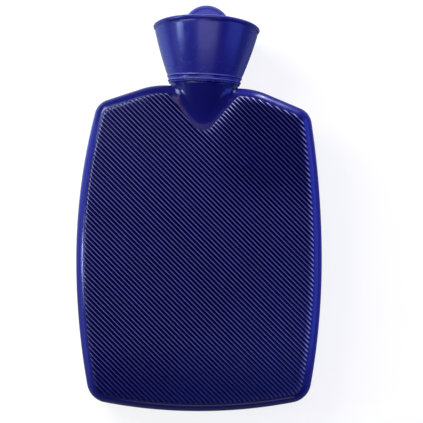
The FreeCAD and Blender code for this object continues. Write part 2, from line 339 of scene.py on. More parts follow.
@dataclass(frozen=True)
class Outline:
    """A closed outline of arcs that meet smoothly, anticlockwise: centre, radius, start and sweep of each."""

    centres: np.ndarray
    radii: np.ndarray
    starts: np.ndarray
    sweeps: np.ndarray

    @classmethod
    def rounded(cls, circles: list[tuple[complex, float]], rounds: list[float]) -> "Outline":
        """Joins circles by rounded corners.

        The centre of a corner of radius r is where both circles, drawn r smaller, cross.

        Args:
            circles: Centre and radius of each stretch, in order. A straight one has a radius of 100 metres.
            rounds: Radius of the corner after each stretch, 0 where two stretches already touch smoothly.

        Returns:
            The outline.
        """
        following = circles[1:] + circles[:1]
        corners = [circles_meet(a, ra - r, b, rb - r)
                   for (a, ra), (b, rb), r in zip(circles, following, rounds)]
        arcs = []
        for number, (centre, radius) in enumerate(circles):
            start = np.angle(corners[number - 1] - centre)
            end = np.angle(corners[number] - centre)
            turned = np.angle(corners[number] - following[number][0])
            arcs.append((centre, radius, start, (end - start) % math.tau))
            if rounds[number] > 0.0:
                arcs.append((corners[number], rounds[number], end, (turned - end) % math.tau))
        return cls(*(np.array(column) for column in zip(*arcs)))

    def spots(self, count: int) -> tuple[np.ndarray, np.ndarray]:
        """Spreads places evenly along the outline.

        Args:
            count: How many places.

        Returns:
            The arc and the angle of each place.
        """
        ends = np.cumsum(self.radii * self.sweeps)
        reach = np.arange(count) * ends[-1] / count
        arc = np.searchsorted(ends, reach, side="right")
        before = ends[arc] - self.radii[arc] * self.sweeps[arc]
        return arc, self.starts[arc] + (reach - before) / self.radii[arc]

    def points(self, spots: tuple[np.ndarray, np.ndarray], inset: float = 0.0) -> np.ndarray:
        """Plan positions at some places, moved inwards: centre + (radius - inset) at the angle."""
        arc, angle = spots
        return self.centres[arc] + (self.radii[arc] - inset) * np.exp(1j * angle)

    def depth(self, plan: np.ndarray) -> tuple[np.ndarray, np.ndarray]:
        """How deep plan positions lie inside the outline.

        A position belongs to an arc where it lies in the arc's sector. There its depth is the arc's radius
        less its distance from the arc's centre, and the least of these over the arcs is the depth.

        Args:
            plan: Plan positions.

        Returns:
            The depth, negative outside, and the unit direction straight out of the outline.
        """
        ray = plan[..., None] - self.centres
        turn = (np.angle(ray) - self.starts + ANGLE_SLACK) % math.tau
        depths = np.where(turn <= self.sweeps + 2.0 * ANGLE_SLACK, self.radii - np.abs(ray), np.inf)
        nearest = np.argmin(depths, -1)[..., None]
        ray = np.take_along_axis(ray, nearest, -1)[..., 0]
        return np.take_along_axis(depths, nearest, -1)[..., 0], ray / np.abs(ray)


# Finishes


@dataclass
class Wiring:
    """The nodes of a material or of the world, each added with what feeds its inputs."""

    tree: bpy.types.NodeTree

    @classmethod
    def of(cls, owner: bpy.types.Material | bpy.types.World) -> "Wiring":
        """The wiring of a material or of the world, switched on."""
        owner.use_nodes = True
        return cls(owner.node_tree)

    def feed(self, socket: bpy.types.NodeSocket, value: object) -> None:
        """Gives an input a value, or links it where the value is a node's output.

        Args:
            socket: The input.
            value: A number, a list of numbers or an output.
        """
        if isinstance(value, bpy.types.NodeSocket):
            self.tree.links.new(value, socket)
        else:
            socket.default_value = value

    def node(self, kind: str, inputs: dict[str | int, object], **settings: str) -> bpy.types.Node:
        """Adds a node.

        Args:
            kind: The node's type.
            inputs: What feeds its inputs, by their names or numbers.
            settings: Its other settings.

        Returns:
            The node.
        """
        node = self.tree.nodes.new(kind)
        for label, value in settings.items():
            setattr(node, label, value)
        for label, value in inputs.items():
            self.feed(node.inputs[label], value)
        return node

    def place(self) -> bpy.types.NodeSocket:
        """Position on the object, so that a pattern stays with it."""
        return self.node("ShaderNodeTexCoord", {}).outputs["Object"]

    def noise(self, scale: float, detail: float) -> bpy.types.NodeSocket:
        """A noise pattern fixed to the object."""
        inputs = {"Vector": self.place(), "Scale": scale, "Detail": detail}
        return self.node("ShaderNodeTexNoise", inputs).outputs["Fac"]

    def ranged(self, value: object, limits: Limits, results: Limits = (0.0, 1.0)) -> bpy.types.NodeSocket:
        """Maps the stretch between two limits of a value onto the stretch between two results."""
        ends = dict(zip(("From Min", "From Max", "To Min", "To Max"), (*limits, *results)))
        return self.node("ShaderNodeMapRange", {"Value": value, **ends}).outputs["Result"]

    def mixed(self, share: object, first: object, second: object) -> bpy.types.NodeSocket:
        """Mixes two colours: the first where the share is 0, the second where it is 1."""
        inputs = {"Factor": share, 6: first, 7: second}
        return self.node("ShaderNodeMix", inputs, data_type="RGBA").outputs[2]

    def worked(self, operation: str, *values: object) -> bpy.types.NodeSocket:
        """One step of arithmetic on numbers and outputs."""
        return self.node("ShaderNodeMath", dict(enumerate(values)), operation=operation).outputs[0]


@dataclass(frozen=True)
class Finish:
    """A moulded finish: two mixed tones, a polished or dull level, and a fine grain."""

    name: str
    tone: Colour
    shade: Colour
    roughness: Limits
    # Tones of painted light: shade in the grooves, highlights on the crests and a glow at the rim
    painted_groove_shade_tone: Colour | None = None
    painted_crest_highlight_tone: Colour | None = None
    painted_rim_glow_tone: Colour | None = None
    gloss_tone: Colour = (0.6, 0.7, 1.0)
    ior: float = 1.5
    cloud_scale: float = 38.0
    cloud_detail: float = 4.0
    cloud_limits: Limits = (0.35, 0.65)
    smear_fineness: float = 5.0
    smear_detail: float = 6.0
    smear_limits: Limits = (0.3, 0.7)
    grain_scale: float = 2600.0
    grain_detail: float = 3.0
    grain_depth: float = 0.00001

    def material(self) -> bpy.types.Material:
        """Builds the node tree.

        Soft clouds mix the two tones, a finer pattern moves the roughness between its two levels, and a
        fine grain gives the bump. Where tones are given, the mesh's own numbers mix in painted shade in the
        grooves, painted highlights on the crests and a painted glow at the rim.

        Returns:
            The new material.
        """
        material = bpy.data.materials.new(self.name)
        wiring = Wiring.of(material)
        shader = wiring.tree.nodes["Principled BSDF"]
        shader.inputs["IOR"].default_value = self.ior
        shader.inputs["Specular Tint"].default_value = (*self.gloss_tone, 1.0)
        clouds = wiring.ranged(wiring.noise(self.cloud_scale, self.cloud_detail), self.cloud_limits)
        colour = wiring.mixed(clouds, (*self.tone, 1.0), (*self.shade, 1.0))
        # Painted shade, painted highlights and the painted rim glow, mixed into the base colour
        for label, full, tone in (("painted_light", -1.0, self.painted_groove_shade_tone), ("painted_light", 1.0, self.painted_crest_highlight_tone),
                                  ("rim", 1.0, self.painted_rim_glow_tone)):
            if tone is not None:
                number = wiring.node("ShaderNodeAttribute", {}, attribute_name=label).outputs["Fac"]
                colour = wiring.mixed(wiring.ranged(number, (0.0, full)), colour, (*tone, 1.0))
        smears = wiring.noise(self.cloud_scale * self.smear_fineness, self.smear_detail)
        grain = wiring.noise(self.grain_scale, self.grain_detail)
        bump = wiring.node("ShaderNodeBump", {"Strength": 1.0, "Distance": self.grain_depth, "Height": grain})
        wiring.feed(shader.inputs["Base Color"], colour)
        wiring.feed(shader.inputs["Roughness"], wiring.ranged(smears, self.smear_limits, self.roughness))
        wiring.feed(shader.inputs["Normal"], bump.outputs["Normal"])
        return material


# The bag's groove, crest and rim tones are painted shade, painted highlights and a painted glow
BAG_VINYL = Finish("glossy navy vinyl, ribbed", (0.005, 0.005, 0.12), (0.004, 0.004, 0.095), (0.15, 0.24),
                   painted_groove_shade_tone=(0.0007, 0.0007, 0.032), painted_crest_highlight_tone=(0.5, 0.5, 1.0),
                   painted_rim_glow_tone=(0.018, 0.018, 0.24))
# The funnel's groove and crest tones paint shade under the beads and lip and highlights on them
FUNNEL_VINYL = Finish("glossy navy vinyl, smooth", (0.009, 0.010, 0.138), (0.007, 0.0075, 0.112),
                      (0.20, 0.30), painted_groove_shade_tone=(0.002, 0.002, 0.05), painted_crest_highlight_tone=(0.07, 0.07, 0.31))
GRIP_VINYL = Finish("satin navy vinyl", (0.07, 0.085, 0.42), (0.05, 0.06, 0.34), (0.30, 0.42))
BUSH_PLASTIC = Finish("satin dark plastic", (0.028, 0.028, 0.11), (0.020, 0.020, 0.09), (0.38, 0.5))
WASHER_RUBBER = Finish("matt grey rubber", (0.52, 0.52, 0.49), (0.44, 0.44, 0.42), (0.6, 0.75),
                       grain_depth=0.00003)
SCREW_PLASTIC = Finish("satin navy plastic", (0.020, 0.020, 0.15), (0.015, 0.015, 0.12), (0.34, 0.46))


# Bag


@dataclass
class Bag:
    """The water bag: its outline, its smooth skin over both faces, its rounded rim and its parting bead."""

    frames: Frames
    width: float = 200.0
    widest_height: float = 122.8
    shoulder_height: float = 264.0
    foot_radius: float = 410.0
    lower_side_radius: float = 575.0
    upper_left_radius: float = 478.0
    upper_right_radius: float = 760.0
    heel_round: float = 18.0
    shoulder_round: float = 15.0
    shoulder_blend: float = 60.0
    shoulder_flat: float = 82.0
    shoulder_slope: float = 20.4
    thickness: float = 36.0
    edge_radius: float = 11.0
    bead_reach: float = 0.5
    bead_half_width: float = 0.8
    crown: float = 0.9
    crown_length: float = 60.0
    swell: float = 0.22
    ripple: float = 0.07
    wave_blend: float = 12.0
    # Where the rim's painted glow lies, and where it is cut back on the left shoulder
    glow_zone: Limits = (9.5, 3.5)
    glow_foot_zone: Limits = (-30.0, 60.0)
    shoulder_glow_cut: float = 0.8
    glow_cut_upper_zone: Limits = (225.0, 245.0)
    glow_cut_left_zone: Limits = (30.0, 0.0)
    bead_steps: int = 9
    side_shares: tuple[float, ...] = (0.4, 0.8)
    edge_steps: int = 12
    face_shares: tuple[float, ...] = (0.04, 0.12, 0.25, 0.45, 0.7, 1.0)
    around: int = 640
    outline: Outline = field(init=False)

    def __post_init__(self) -> None:
        """Draws the outline: foot, right side, right shoulder, top, left shoulder and left side."""
        half, level = self.width / 2.0, 1j * self.widest_height
        lower = self.lower_side_radius
        top = self.straight(0.0, 1j * self.shoulder_height, 90.0)
        right_slope, left_slope = (
            self.straight(side * self.shoulder_flat / 2.0, 1j * self.shoulder_height,
                          90.0 - side * self.shoulder_slope) for side in (1.0, -1.0))
        circles = [
            (1j * self.foot_radius, self.foot_radius),
            (half - lower + level, lower),
            (half - self.upper_right_radius + level, self.upper_right_radius),
            right_slope,
            top,
            left_slope,
            (self.upper_left_radius - half + level, self.upper_left_radius),
            (lower - half + level, lower),
        ]
        rounds = [self.heel_round, 0.0, self.shoulder_round, self.shoulder_blend, self.shoulder_blend,
                  self.shoulder_round, 0.0, self.heel_round]
        self.outline = Outline.rounded(circles, rounds)

    def straight(self, across: float, height: complex, outward: float) -> tuple[complex, float]:
        """A straight stretch of the shoulders as a circle of 100 metres, in the bag frame.

        Args:
            across: Where the stretch passes, along X of the neck frame.
            height: Its height there, times i.
            outward: The direction straight out of the bag, in degrees.

        Returns:
            The circle's centre and radius.
        """
        inward = -np.exp(1j * math.radians(outward))
        return complex(self.frames.leaned(across + height + STRAIGHT * inward)), STRAIGHT

    def waves(self, plan: np.ndarray) -> np.ndarray:
        """The soft unevenness of the skin: a slow swell and a finer ripple.

        Each is its height times two sines across each other, whose angles are X and Y over lengths of 17 to
        71 mm.

        Args:
            plan: Plan positions in the bag frame.

        Returns:
            How far the skin stands out, up to 0.3 mm either way.
        """
        x, y = plan.real, plan.imag
        return (self.swell * np.sin(x / 29.0 + y / 71.0 + 1.3) * np.sin(y / 37.0 + 0.4)
                + self.ripple * np.sin(x / 17.0 - y / 23.0) * np.sin(y / 41.0 + x / 60.0))

    def height(self, plan: np.ndarray) -> np.ndarray:
        """Height of the bag's skin above its middle plane.

        The rim is a quarter circle over its edge radius. Inside it the face rises by the crown, on a smooth
        step over the crown's length, and carries the waves.

        Args:
            plan: Plan positions in the bag frame.

        Returns:
            The heights.
        """
        depth = self.outline.depth(plan)[0]
        rest = np.clip(self.edge_radius - depth, 0.0, self.edge_radius)
        rim = self.thickness / 2.0 - self.edge_radius + np.sqrt(self.edge_radius ** 2 - rest ** 2)
        past = depth - self.edge_radius
        crown = self.crown * ease(past / self.crown_length)
        return rim + crown + self.waves(plan) * ease(past / self.wave_blend)

    def rim_section(self) -> tuple[np.ndarray, np.ndarray]:
        """The section of the rim: half of the parting bead, the flat side and the quarter circle to the face.

        Returns:
            The inset from the outline and the height of each of its points.
        """
        side = self.thickness / 2.0 - self.edge_radius
        bead = np.linspace(0.0, math.pi, self.bead_steps)
        turn = np.linspace(0.0, math.pi / 2.0, self.edge_steps)
        flat = side * np.array(self.side_shares)
        inset = np.concatenate([-self.bead_reach / 2.0 * (1.0 + np.cos(bead)), np.zeros_like(flat),
                                self.edge_radius * (1.0 - np.cos(turn))])
        height = np.concatenate([self.bead_half_width * bead / math.pi, flat,
                                 side + self.edge_radius * np.sin(turn)])
        return inset, height

    def add_slab(self, skin: Skin) -> None:
        """Adds the smooth skin of the bag: both faces, the rim and the parting bead.

        Each column follows the outline's inward direction over the rim, then runs straight to the middle.
        The rim's number, a painted glow of lighter blue on the rounded edge, falls from 1 at the edge to 0
        where the glow ends. The painted glow fades towards the foot and on the left shoulder.

        Args:
            skin: The mesh that it goes to.
        """
        spots = self.outline.spots(self.around)
        insets, heights = self.rim_section()
        rim = np.stack([self.outline.points(spots, inset) for inset in insets])
        share = np.array(self.face_shares)[:, None]
        face = rim[-1] * (1.0 - share) + 1j * self.widest_height * share
        plan = np.concatenate([rim, face])
        height = np.concatenate([np.broadcast_to(heights[:, None], rim.shape), self.height(face)])
        inset = np.concatenate([insets, np.full(len(face), self.edge_radius)])[:, None]
        # Painted glow on the rounded edge, standing for light caught there, less towards the foot and on the left
        # shoulder
        glow_cut = ease_over(plan.imag, self.glow_cut_upper_zone) * ease_over(plan.real, self.glow_cut_left_zone)
        glow = ease_over(inset, self.glow_zone) * ease_over(plan.imag, self.glow_foot_zone)
        glow = glow * (1.0 - self.shoulder_glow_cut * glow_cut)
        skin.add(both_faces(plan, height), rim=np.concatenate([glow[:0:-1], glow]))


@dataclass(frozen=True)
class RibPaintedLight:
    """Painted highlight and shade of the ribs in each zone, from where the zone starts to where it is full."""

    crest_highlight_level: float = 0.34
    crest_power: float = 3.0
    low_zone: Limits = (60.0, 10.0)
    low_painted_shade: float = 0.6
    right_zone: Limits = (5.0, 45.0)
    upper_zone: Limits = (160.0, 200.0)
    upper_right_painted_shade: float = 0.2
    upper_right_power: float = 3.0
    lit_length: float = 1.9
    lit_power: float = 1.5
    lit_right_zone: Limits = (-10.0, 40.0)
    lit_upper_zone: Limits = (0.0, 60.0)
    shoulder_zone: Limits = (200.0, 230.0)
    shoulder_stretch: float = 0.8

    def painted_light(self, plan: np.ndarray, near: np.ndarray, profile: np.ndarray, fall: np.ndarray) -> np.ndarray:
        """The painted light of the ribs' points: painted shade in the grooves, painted highlights on the crests.

        Across a rib it is (1 + crest level) times a power of the profile, less 1: painted shade in the groove,
        a painted highlight on the crest. The crest level is lower near the foot and at the upper right, painted
        shade where less light falls, and at the upper right the power is higher too, so that the painted light
        line is narrower. A bell curve about the lit length from a rib's end lifts it towards 1, a painted
        highlight on the rib ends, more to the right and above the foot, and over a longer stretch near the
        shoulders.

        Args:
            plan: Plan positions in the bag frame.
            near: Distance of each from the nearer end of its rib.
            profile: Height across the rib, from 0 in the groove to 1 on the crest.
            fall: Height along the rib, from 0 at its very end to 1 where it is full.

        Returns:
            The painted light of each point.
        """
        stretch = 1.0 + self.shoulder_stretch * ease_over(plan.imag, self.shoulder_zone)
        lit = bell(near, self.lit_length, self.lit_length * stretch)
        lit = lit * ease_over(plan.real, self.lit_right_zone) * ease_over(plan.imag, self.lit_upper_zone)
        upper_right = ease_over(plan.real, self.right_zone) * ease_over(plan.imag, self.upper_zone)
        painted_shade = np.maximum(self.low_painted_shade * ease_over(plan.imag, self.low_zone),
                             self.upper_right_painted_shade * upper_right)
        level = self.crest_highlight_level * (1.0 - painted_shade)
        power = self.crest_power + self.upper_right_power * upper_right
        crest = ((1.0 + level) * profile ** power - 1.0) * fall
        return crest + (1.0 - level) * lit * profile ** self.lit_power


@dataclass
class RibbedPad:
    """The straight diagonal ribs of one face, side by side, inside the smooth border."""

    bag: Bag
    # Painted highlight and shade of the ribs, zone by zone
    rib_light: RibPaintedLight = RibPaintedLight()
    pitch: float = 2.9
    rise: float = 0.9
    lift: float = 0.12
    sunk: float = 0.25
    sunk_length: float = 0.4
    border: float = 7.0
    angle: float = -45.0
    spade_height: float = 222.0
    spade_half_angle: float = 38.6
    spade_tip_radius: float = 10.0
    section_power: float = 1.7
    end_length: float = 2.2
    end_taper: float = 0.5
    end_room: float = 2.5
    outer_margin: float = 0.3
    least_length: float = 1.0
    shares: tuple[float, ...] = (0.0, 0.1, 0.22, 0.36, 0.5, 0.64, 0.78, 0.9)
    end_steps: tuple[float, ...] = (0.0, 0.2, 0.5, 0.95, 1.5, 2.2, 3.6, 6.5)
    middle_steps: int = 12
    tip_steps: int = 60
    edge_steps: int = 4000

    def split(self, plan: np.ndarray) -> tuple[np.ndarray, np.ndarray]:
        """Position along the ribs and across them, from the middle of the bag."""
        turned = (plan - 1j * self.bag.widest_height) * np.exp(-1j * math.radians(self.angle))
        return turned.real, turned.imag

    def joined(self, along: np.ndarray, across: np.ndarray) -> np.ndarray:
        """Plan position from the position along and across the ribs."""
        return (along + 1j * across) * np.exp(1j * math.radians(self.angle)) + 1j * self.bag.widest_height

    def spade(self) -> np.ndarray:
        """The edge of the smooth ground round the neck: two straight sides and a round tip.

        Returns:
            Plan positions in the bag frame, from the upper left over the tip to the upper right.
        """
        half = math.radians(self.spade_half_angle)
        centre = 1j * (self.spade_height + self.spade_tip_radius / math.sin(half))
        turn = np.linspace(math.pi + half, math.tau - half, self.tip_steps)
        tip = centre + self.spade_tip_radius * np.exp(1j * turn)
        reach = self.bag.width / 2.0
        left = tip[0] + reach * np.exp(1j * (math.pi / 2.0 + half))
        right = tip[-1] + reach * np.exp(1j * (math.pi / 2.0 - half))
        return self.bag.frames.leaned(np.concatenate([[left], tip, [right]]))

    @staticmethod
    def chains(along: np.ndarray, across: np.ndarray) -> list[tuple[np.ndarray, np.ndarray]]:
        """Splits a convex edge at its lowest place across the ribs into its left and right part.

        Args:
            along: Position of each point of the edge along the ribs.
            across: Its position across them.

        Returns:
            For the left and the right part, the positions across, rising, and along.
        """
        lowest, highest = int(np.argmin(across)), int(np.argmax(across))
        count = len(across)
        forward = (lowest + np.arange((highest - lowest) % count + 1)) % count
        backward = (lowest - np.arange((lowest - highest) % count + 1)) % count
        parts = [(across[way], along[way]) for way in (forward, backward)]
        return sorted(parts, key=lambda part: float(np.mean(part[1])))

    def lines(self, low: float, high: float) -> np.ndarray:
        """Positions across the ribs of their grooves, flanks and crests.

        Args:
            low: The least position.
            high: The greatest position.

        Returns:
            Every line between the two, rising.
        """
        number = np.arange(math.floor(low / self.pitch), math.ceil(high / self.pitch) + 1)
        every = ((number[:, None] + np.array(self.shares)) * self.pitch).ravel()
        return every[(every >= low - SLACK) & (every <= high + SLACK)]

    def sheet(self, skin: Skin, across: np.ndarray, start: np.ndarray, end: np.ndarray, side: Side) -> None:
        """Adds one stretch of ribs.

        Across a rib the profile is 1 - |2w - 1| to the power 1.7, where w runs from groove to groove, and
        the height is the rise times it. Towards both ends the rib tapers on a parabola and falls on a
        quarter ellipse, and the very end is sunk in the skin.

        Args:
            skin: The mesh that it goes to.
            across: Position of each line across the ribs.
            start: Where each line starts, along the ribs.
            end: Where it ends.
            side: The face of the bag.
        """
        length, tail = (end - start)[:, None], self.end_steps[-1]
        ends = np.array(self.end_steps) * np.minimum(1.0, length / (self.end_room * tail))
        middle = np.linspace(0.0, 1.0, self.middle_steps + 2)[1:-1]
        between = ends[:, -1:] + middle * (length - 2.0 * ends[:, -1:])
        reach = np.concatenate([ends, between, length - ends[:, ::-1]], 1)
        plan = self.joined(start[:, None] + reach, across[:, None])
        near = np.minimum(reach, length - reach)
        share = np.clip(near / self.end_length, 0.0, 1.0)
        fall = np.sqrt(1.0 - (1.0 - share) ** 2)
        taper = 1.0 - self.end_taper * (1.0 - np.clip(near / tail, 0.0, 1.0)) ** 2
        phase = (across / self.pitch) % 1.0
        profile = (1.0 - np.abs(2.0 * phase - 1.0) ** self.section_power)[:, None]
        crest = profile * fall * taper
        floor = self.lift - (self.lift + self.sunk) * (1.0 - ease(near / self.sunk_length))
        height = self.bag.height(plan) + floor + self.rise * crest
        # Painted shade in the grooves and painted highlights on the crests and the rib ends
        painted_light = self.rib_light.painted_light(plan, near, profile, fall)
        skin.close_sheet(skin.add(raised(plan, side.value * height), painted_light, columns_close=False))

    def add(self, skin: Skin, side: Side) -> None:
        """Adds the ribs of one face: whole ones below the spade, and those cut by it left and right.

        Args:
            skin: The mesh that they go to.
            side: The face of the bag.
        """
        outline = self.bag.outline
        edge = outline.points(outline.spots(self.edge_steps), self.border)
        left, right = self.chains(*self.split(edge))
        spade_left, spade_right = self.chains(*self.split(self.spade()))
        low, high = left[0][0] + self.outer_margin, left[0][-1] - self.outer_margin
        fork = math.floor(spade_left[0][0] / self.pitch) * self.pitch
        whole, cut = self.lines(low, fork), self.lines(fork, high)
        self.sheet(skin, whole, np.interp(whole, *left), np.interp(whole, *right), side)
        start, stop = np.interp(cut, *left), np.interp(cut, *spade_left)
        room = np.cumprod(stop - start > self.least_length).astype(bool)
        self.sheet(skin, cut[room], start[room], stop[room], side)
        again = np.maximum(np.interp(cut, *spade_right), start)
        self.sheet(skin, cut, again, np.interp(cut, *right), side)


@dataclass
class Neck:
    """The conical neck of the bag, which runs out into the faces and the shoulders in a hollow round."""

    bag: Bag
    top_radius: float = 28.0
    top_height: float = NECK_TOP
    top_edge: float = 0.4
    cone_angle: float = 18.8
    lowest: float = 228.0
    spigot_radius: float = SPIGOT_RADIUS
    spigot_top: float = SPIGOT_TOP
    pocket_radius: float = 21.2
    pocket_foot: float = BUSH_FOOT
    blind_foot: float = 240.0
    blind_wall: float = 2.0
    hidden_depth: float = 6.0
    face_blend: float = 5.5
    side_blend: float = 1.7
    blend_zone: Limits = (5.0, 18.0)
    blend_margin: float = 0.3
    sunk_reach: float = 0.8
    sunk_depth: float = 0.35
    search_steps: int = 1600
    round_steps: int = 13
    cone_steps: int = 16
    around: int = 288

    def radius(self, height: np.ndarray) -> np.ndarray:
        """Radius of the cone: the top radius less the depth below the top times the cone angle's tangent."""
        return self.top_radius - (self.top_height - height) * math.tan(math.radians(self.cone_angle))

    def junction(self, angle: np.ndarray) -> np.ndarray:
        """Height at which the cone leaves the skin of the bag, at each angle about the neck.

        The cone is inside the bag where its own height above the middle plane is less than the skin's. The
        mean of each three neighbours smooths the steps of the search.

        Args:
            angle: Angles about the neck's axis.

        Returns:
            The greatest height at which the cone is still inside.
        """
        height = np.linspace(self.lowest, self.top_height, self.search_steps)[:, None]
        points = self.bag.frames.neck_to_bag(on_circle(angle, self.radius(height), height))
        plan = plan_of(points)
        depth = self.bag.outline.depth(plan)[0]
        inside = (np.abs(points[..., 2]) < self.bag.height(plan)) & (depth > 0.0)
        last = len(height) - 1 - np.argmax(inside[::-1], 0)
        return np.mean([np.roll(height[last, 0], step) for step in (-1, 0, 1)], 0)

    def on_bag(self, points: np.ndarray) -> np.ndarray:
        """Moves points near the bag onto its skin.

        Over the rim a point moves along the line to the middle of the rim's circle. Over the face it moves
        straight up or down.

        Args:
            points: Points in the bag frame.

        Returns:
            The points on the skin.
        """
        edge, side = self.bag.edge_radius, self.bag.thickness / 2.0 - self.bag.edge_radius
        plan = plan_of(points)
        depth, outward = self.bag.outline.depth(plan)
        over = np.clip(edge - depth, 0.0, None)
        up = np.clip(np.abs(points[..., 2]) - side, 0.0, None)
        scale = edge / np.maximum(np.hypot(over, up), SLACK)
        rim = (over > 0.0) & (up > 0.0)
        wall = (over > 0.0) & (up <= 0.0)
        shift = np.where(rim, over * scale - over, np.where(wall, depth, 0.0))
        plan = plan + shift * outward
        height = np.where(wall, np.abs(points[..., 2]), self.bag.height(plan))
        return raised(plan, np.sign(points[..., 2]) * height)

    def skin_normal(self, points: np.ndarray) -> np.ndarray:
        """Finds the direction straight out of the bag's skin, with its crown and its waves left out.

        Args:
            points: Points on the skin, in the bag frame.

        Returns:
            The unit direction at each point.
        """
        edge, side = self.bag.edge_radius, self.bag.thickness / 2.0 - self.bag.edge_radius
        depth, outward = self.bag.outline.depth(plan_of(points))
        over = np.clip(edge - depth, 0.0, edge)
        up = np.clip(np.abs(points[..., 2]) - side, 0.0, None)
        up = np.where(over > 0.0, up, edge)
        out = raised(over * outward, np.sign(points[..., 2]) * up)
        return out / np.maximum(np.linalg.norm(out, axis=-1, keepdims=True), TINY)

    def upper_end(self, angle: np.ndarray, corner: np.ndarray, way: np.ndarray,
                  blend: np.ndarray) -> tuple[np.ndarray, np.ndarray]:
        """Finds where the hollow round leaves the cone, up the cone and square to the line of meeting.

        Args:
            angle: Angles about the neck's axis.
            corner: The point at each angle where cone and bag meet, in the neck frame.
            way: Direction of the line of meeting there.
            blend: Distance from it to the end of the round.

        Returns:
            Angle about the neck's axis and height of each end.
        """
        slope = math.radians(self.cone_angle)
        up_cone = np.cross(way, on_circle(angle, np.cos(slope), -np.sin(slope)))
        up_cone *= np.sign(up_cone[:, 1:2] + TINY)
        high = corner + up_cone * blend
        height = np.minimum(high[:, 1], self.top_height - self.blend_margin)
        return np.unwrap(np.arctan2(high[:, 2], high[:, 0])), height

    def lower_end(self, corner: np.ndarray, middle: np.ndarray, way: np.ndarray,
                  blend: np.ndarray) -> tuple[np.ndarray, np.ndarray]:
        """Finds where the hollow round reaches the bag, square to the line of meeting.

        Args:
            corner: The points where cone and bag meet, in the bag frame.
            middle: The point of the neck's axis beside each.
            way: Direction of the line of meeting there.
            blend: Distance from it to the end of the round.

        Returns:
            The ends on the skin, and an edge further out that is sunk in the skin.
        """
        out = np.cross(way, self.skin_normal(corner))
        out *= np.sign(np.sum(out * (corner - middle), 1, keepdims=True))
        low = self.on_bag(corner + out * blend)
        beyond = self.on_bag(corner + out * (blend + self.sunk_reach))
        return low, beyond - self.sunk_depth * self.skin_normal(low)

    def add(self, skin: Skin) -> None:
        """Adds the neck: the cone, the hollow round at its foot, the spigot on top and the pocket in it.

        The hollow round is a parabola between a point up the cone and a point out on the bag, whose middle
        point is where cone and bag meet. Both are found square to the line of meeting.

        Args:
            skin: The mesh that it goes to, in the bag frame.
        """
        to_bag, angle = self.bag.frames.neck_to_bag, full_turn(self.around)
        meeting = self.junction(angle)
        corner = on_circle(angle, self.radius(meeting), meeting)
        way = np.roll(corner, -1, 0) - np.roll(corner, 1, 0)
        way /= np.linalg.norm(way, axis=1, keepdims=True)
        facing = ease_over(np.abs(corner[:, 2:]), self.blend_zone)
        blend = self.side_blend + (self.face_blend - self.side_blend) * facing
        high_angle, high_height = self.upper_end(angle, corner, way, blend)
        high = to_bag(on_circle(high_angle, self.radius(high_height), high_height))
        middle, corner = to_bag(on_circle(angle, 0.0, meeting)), to_bag(corner)
        low, sunk = self.lower_end(corner, middle, way, blend)
        share = np.linspace(0.0, 1.0, self.round_steps)[:, None, None]
        hollow = (1.0 - share) ** 2 * low + 2.0 * share * (1.0 - share) * corner + share ** 2 * high
        rise = np.linspace(0.0, 1.0, self.cone_steps)[1:, None]
        home = angle + math.tau * np.round((high_angle - angle) / math.tau)
        cone_angle = high_angle + (home - high_angle) * rise
        cone_height = high_height + (self.top_height - high_height) * rise
        cone = to_bag(on_circle(cone_angle, self.radius(cone_height), cone_height))
        rings = np.array([(self.top_radius - self.top_edge, self.top_height),
                          (self.spigot_radius, self.top_height), (self.spigot_radius, self.spigot_top),
                          (self.pocket_radius, self.spigot_top), (self.pocket_radius, self.pocket_foot),
                          (self.radius(self.blind_foot) - self.blind_wall, self.blind_foot),
                          (0.0, self.blind_foot)])
        inner = to_bag(spun(rings, angle))
        hidden = to_bag(on_circle(angle, 0.0, self.blind_foot - self.hidden_depth))
        skin.add(np.concatenate([hidden[None], sunk[None], hollow, cone, inner]))


# Pieces turned about the neck


def turned_ring(corners: list[tuple[float, float]], rounding: float, steps: int = ROUND_STEPS) -> np.ndarray:
    """Rounds the corners of a closed section.

    At each corner a parabola runs between the points at the rounding's distance on both sides of it, or at
    0.45 of a side that is shorter.

    Args:
        corners: Radius and height of each corner, in order.
        rounding: How far from a corner the rounding starts.
        steps: Points on each rounding.

    Returns:
        The rounded section, points by two.
    """
    corner = np.array(corners, float)
    before, after = np.roll(corner, 1, 0) - corner, np.roll(corner, -1, 0) - corner
    share = np.linspace(0.0, 1.0, steps)[None, :, None]

    def reach(way: np.ndarray) -> np.ndarray:
        """The start of the rounding along one side."""
        length = np.linalg.norm(way, axis=1, keepdims=True)
        return corner + way / length * np.minimum(rounding, 0.45 * length)

    start, end = reach(before)[:, None], reach(after)[:, None]
    curve = (1.0 - share) ** 2 * start + 2.0 * share * (1.0 - share) * corner[:, None] + share ** 2 * end
    return curve.reshape(-1, 2)


